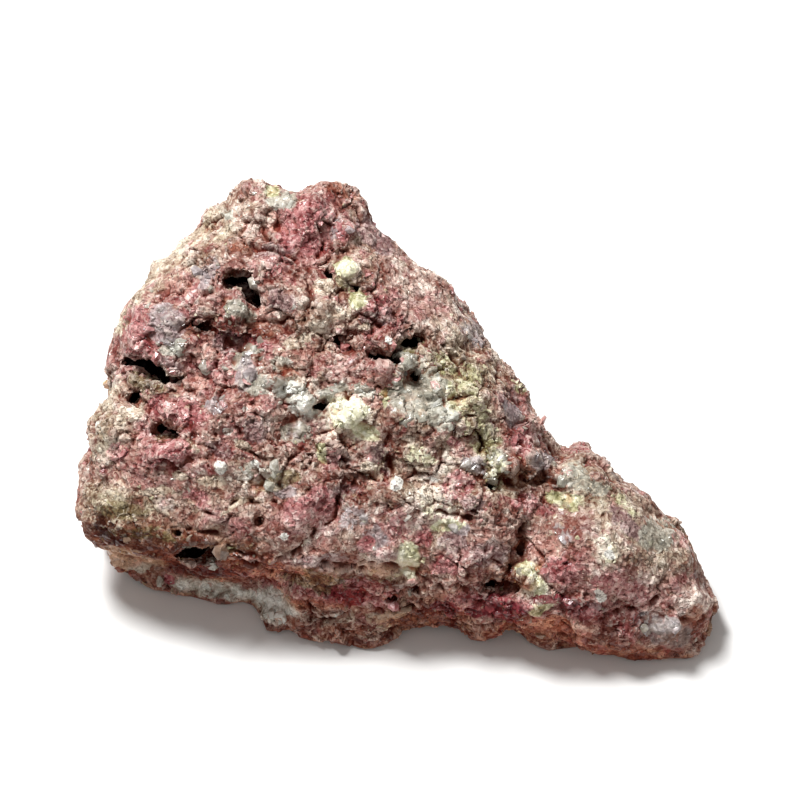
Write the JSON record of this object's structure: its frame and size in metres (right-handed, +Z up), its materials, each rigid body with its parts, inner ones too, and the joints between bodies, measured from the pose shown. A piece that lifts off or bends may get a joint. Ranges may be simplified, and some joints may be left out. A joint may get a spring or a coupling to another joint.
{
  "type": "piemontite specimen",
  "caption": "Hand-sized lump of pink granular piemontite rock with quartz and yellow-green epidote, wedge-shaped, pitted, resting on its broken base.",
  "frame": {"origin": "middle of the lump's outline on the surface it rests on", "axes": "+Z up from the resting surface, +X along the longest side towards the low thin end, the broad broken face leans back towards +Y"},
  "size_m": [0.071, 0.0485, 0.035],
  "materials": {
    "rock": "matte",
    "quartz": "gloss",
    "epidote": "satin",
    "piemontite": "satin"
  },
  "bodies": {
    "root": {"piemontite_rock": "rock"}
  },
  "joints": []
}
